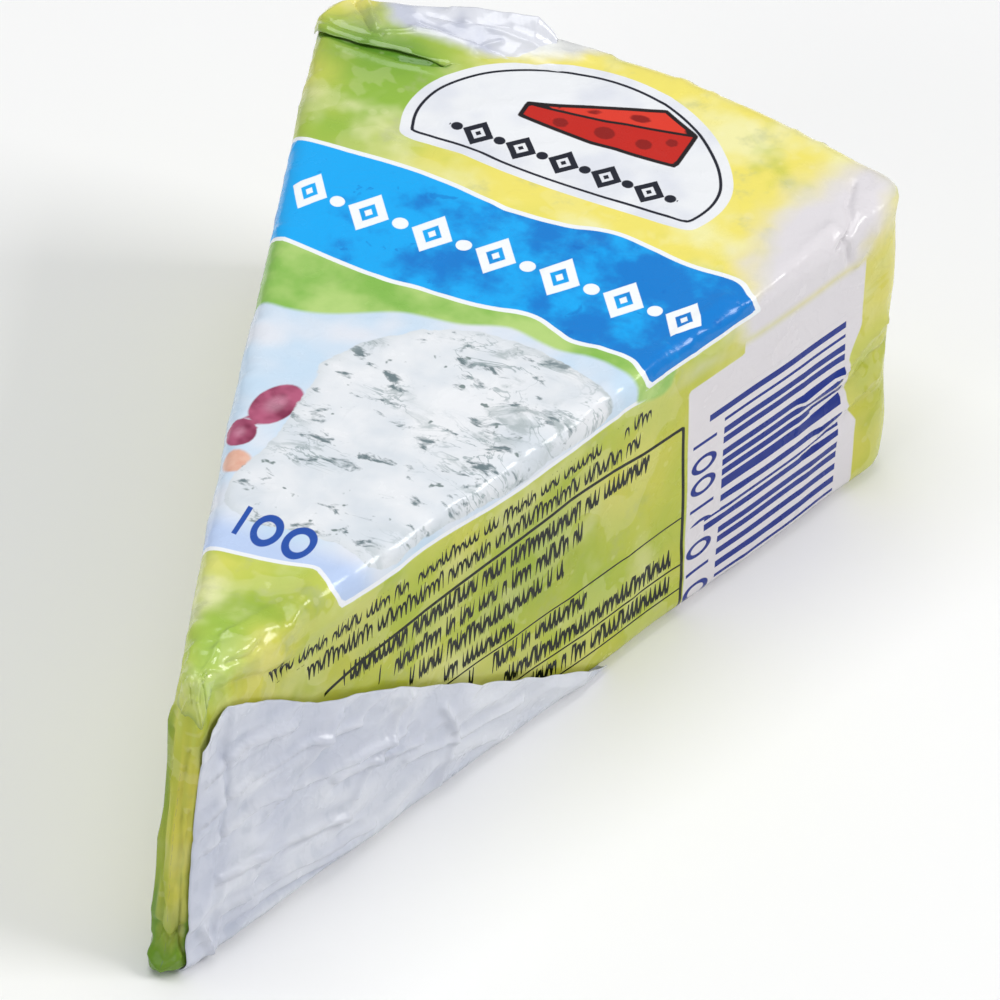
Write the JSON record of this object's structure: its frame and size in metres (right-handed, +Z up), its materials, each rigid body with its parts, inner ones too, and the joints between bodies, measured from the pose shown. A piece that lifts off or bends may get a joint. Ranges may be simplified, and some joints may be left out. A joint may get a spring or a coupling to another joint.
{
  "type": "wrapped cheese wedge",
  "caption": "Wedge of blue-veined cheese wrapped in crinkled printed film, with a plain side lap, a pleated nose and a tucked curved rear. It lies flat on its cut face.",
  "frame": {"origin": "middle of the footprint, on the resting face", "axes": "+Z up from the resting face; +Y along the wedge from its nose to its curved rear; the side lap is on the +X side"},
  "size_m": [0.0584, 0.0998, 0.0337],
  "materials": {
    "cheese_paste": "moist crumbly ivory paste with blue-green veins",
    "printed_film": "glossy crinkled film, printed in mottled green and yellow with a blue band and white panels"
  },
  "bodies": {
    "root": {"cheese_wedge": "cheese_paste", "printed_wrap": "printed_film"}
  },
  "joints": []
}
